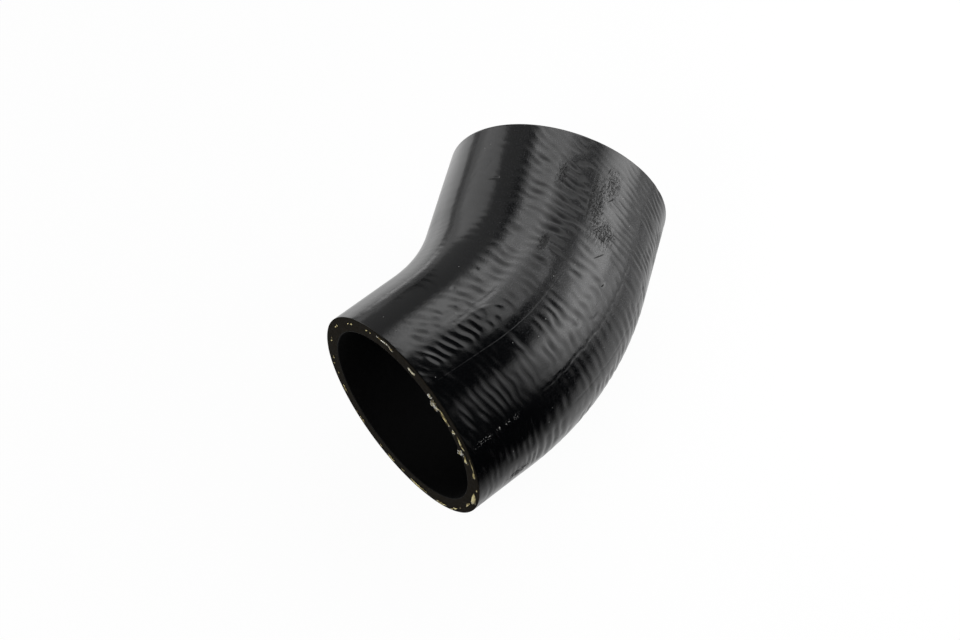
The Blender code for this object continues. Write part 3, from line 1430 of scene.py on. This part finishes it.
@dataclass
class Studio:
    """Soft lamps, and a surround that is dim on the hose and white to the camera."""

    lamps: tuple[SoftBox, ...] = SoftBox.table(
        ("side_lamp", -78.1, 11.8, 0.239, (0.281, 0.423), 0.79, 18.3, (0.25, 0.11)),
        ("side_lamp_core", -66.9, 24.9, 0.239, (0.418, 0.183), 3.10, -9.7, (0.24, 0.41)),
        ("side_lamp_foot", -91.8, 7.7, 0.278, (0.290, 0.067), 1.36, -12.8, (0.29, 0.30)),
        ("side_lamp_end", -111.9, 28.0, 0.333, (0.140, 0.231), 0.91, 0.4, (0.41, 0.23)),
        ("back_lamp", -5.4, 43.2, 1.02, (0.742, 0.782), 2.30, 29.9, (0.09, 0.24)),
        ("top_lamp", -35.3, 65.1, 0.504, (0.297, 0.164), 1.55, -4.5, (0.15, 0.15)),
        ("top_lamp_side", -60.1, 45.6, 0.467, (0.405, 0.267), 0.45, -10.6, (0.20, 0.22)),
        ("top_lamp_middle", -45.5, 57.1, 0.498, (0.114, 0.080), 0.25, 0, (0.2, 0.2)),
        ("top_lamp_back", 1.7, 62.5, 0.357, (0.050, 0.038), 1.20, -5.7, (0.12, 0.12)),
        ("back_lamp_core", 16.8, 45.9, 0.790, (0.184, 0.220), 0.41, 0, (0.2, 0.2)),
        ("left_lamp", 44.1, 13.9, 0.615, (0.178, 0.342), 0.90, -13.5, (0.10, 0.16)),
        ("left_lamp_spill", 37.6, 17.7, 0.391, (0.200, 0.453), 0.34, 14.9, (0.15, 0.16)),
        ("left_card", 23.2, -16.6, 0.257, (0.132, 0.135), 1.94, 7.1, (0.18, 0.28)),
        ("fill_lamp", 140, 35, 0.80, (0.6, 0.5), 6.0, 0, (0.1, 0.1)),
    )
    surround: float = 0.012

    def build(self, middle: Vector, heading: float) -> None:
        """Make the lamps and the world.

        Args:
            middle: The hose's middle.
            heading: Heading of the camera.
        """
        for lamp in self.lamps:
            lamp.build(middle, heading)
        world = bpy.data.worlds.new("studio")
        world.use_nodes = True
        nodes = Nodes(world.node_tree)
        dim = world.node_tree.nodes["Background"]
        nodes.feed(dim, {"Color": WHITE, "Strength": self.surround})
        white = nodes.add("ShaderNodeBackground", {"Color": WHITE, "Strength": 1.0})
        seen = Socket(nodes.add("ShaderNodeLightPath"), "Is Camera Ray")
        shown = nodes.blend(seen, Socket(dim), Socket(white))
        nodes.feed(world.node_tree.nodes["World Output"], {"Surface": shown})
        bpy.context.scene.world = world


@dataclass(frozen=True)
class PaleFloor:
    """The plain white floor, which keeps a faint shadow of the hose.

    Args:
        size: Side of the floor.
        sunk: How far it lies under the hose, so that the two don't share a plane.
        albedo: Brightness of the floor's surface.
        glow: Share of plain white that the camera sees in it.
        pool_light: Brightness of the lit pool round the hose, as a gloss shows it.
        pool_edge_light: Brightness of the floor outside the pool.
        pool_radius: Distances at which the pool starts and stops fading.
        front_edge: Distance at which the lit floor ends in front.
        front_bearing: Bearing of that edge in degrees, from the camera's heading.
        side_light: How much brighter the floor is behind the hose on its left.
        side_start: Distance at which that starts.
        side_bearing: Bearing of that side in degrees, from the camera's heading.
        fade: Half width of the fades.
    """

    size: float = 6.0
    sunk: float = 0.05 * MM
    albedo: float = 0.88
    glow: float = 0.96
    pool_light: float = 0.71
    pool_edge_light: float = 0.24
    pool_radius: Pair = (0.23, 0.245)
    front_edge: float = 0.075
    front_bearing: float = -165.4
    side_light: float = 1.61
    side_start: float = 0.10
    side_bearing: float = 37.5
    fade: float = 0.03

    def build(self, heading: float) -> None:
        """Make the floor.

        Args:
            heading: Heading of the camera.
        """
        bpy.ops.mesh.primitive_plane_add(size=self.size, location=(0.0, 0.0, -self.sunk))
        floor = bpy.context.active_object
        floor.name = "floor"
        shader = Shader("pale_floor")
        shader.tree.nodes.remove(shader.surface)
        paper = shader.add("ShaderNodeBsdfDiffuse", {"Color": (*[self.albedo] * 3, 1.0)})
        white = shader.add("ShaderNodeEmission")
        lit = shader.add("ShaderNodeEmission", {"Strength": self._pool(shader, heading)})
        path = shader.add("ShaderNodeLightPath")
        seen = Socket(path, "Is Camera Ray") * self.glow
        plain = shader.blend(seen, Socket(paper), Socket(white))
        mixed = shader.blend(Socket(path, "Is Glossy Ray"), plain, Socket(lit))
        shader.feed(shader.tree.nodes["Material Output"], {"Surface": mixed})
        floor.data.materials.append(shader.material)

    def _pool(self, shader: Shader, heading: float) -> Socket:
        """Find the brightness of the lit pool, which ends in front and fades with distance.

        Args:
            shader: The floor's material.
            heading: Heading of the camera.

        Returns:
            The brightness.
        """
        place = Socket(shader.add("ShaderNodeNewGeometry"), "Position")
        away = Socket(shader.add("ShaderNodeVectorMath", {0: place}, operation="LENGTH"), "Value")
        ahead, beside = (
            self._towards(shader, place, heading + math.radians(bearing))
            for bearing in (self.front_bearing, self.side_bearing)
        )
        light = away.span(*self.pool_radius, self.pool_light, self.pool_edge_light)
        light = light * ahead.span(self.front_edge + self.fade, self.front_edge - self.fade)
        low, high = self.side_start - self.fade, self.side_start + self.fade
        return light * beside.span(low, high, 1.0, self.side_light)

    def _towards(self, shader: Shader, place: Socket, bearing: float) -> Socket:
        """Find how far a place is from the middle of the floor, towards a bearing."""
        inputs = {0: place, 1: tuple(heading_vector(bearing, 0.0))}
        return Socket(shader.add("ShaderNodeVectorMath", inputs, operation="DOT_PRODUCT"), "Value")


@dataclass
class AirIntakeHose:
    """The whole hose: its wall and the yarn ends on its cuts."""

    mandrel: Mandrel
    outer_radius: float

    def build(self) -> list[bpy.types.Object]:
        """Make and dress every piece.

        Returns:
            The pieces.
        """
        skin = HoseSkin(self.outer_radius, self.mandrel.length)
        wall = HoseWall(self.mandrel, self.outer_radius)
        finishes = [SkinRubber().make(self.outer_radius), CutRubber().make(), LinerRubber().make()]
        body = wall.build(skin, finishes)
        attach(body, "root")
        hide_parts(NODE)
        pieces = [body]
        fibre = YarnFibre().make()
        yarn = YarnEnds(self.mandrel)
        for end in End:
            tuft = yarn.build(end, fibre)
            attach(tuft, "root")
            pieces.append(tuft)
        return pieces


def main() -> None:
    """Build the hose, its floor, its light and its camera, and report each piece."""
    logging.basicConfig(level=logging.INFO)
    bpy.context.scene.view_settings.view_transform = "Standard"
    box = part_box(NODE)
    low, high = Vector(box[0]), Vector(box[1])
    mandrel = Mandrel.from_frame(frame["record"], (low, high))
    hose = AirIntakeHose(mandrel, (high.z - low.z) / 2)
    for piece in hose.build():
        triangles = sum(len(face.vertices) - 2 for face in piece.data.polygons)
        LOG.info("%s: %d triangles", piece.name, triangles)
    camera = PhotoCamera()
    camera.build()
    PaleFloor().build(camera.heading)
    Studio().build((low + high) / 2, camera.heading)


if __name__ == "__main__":
    main()
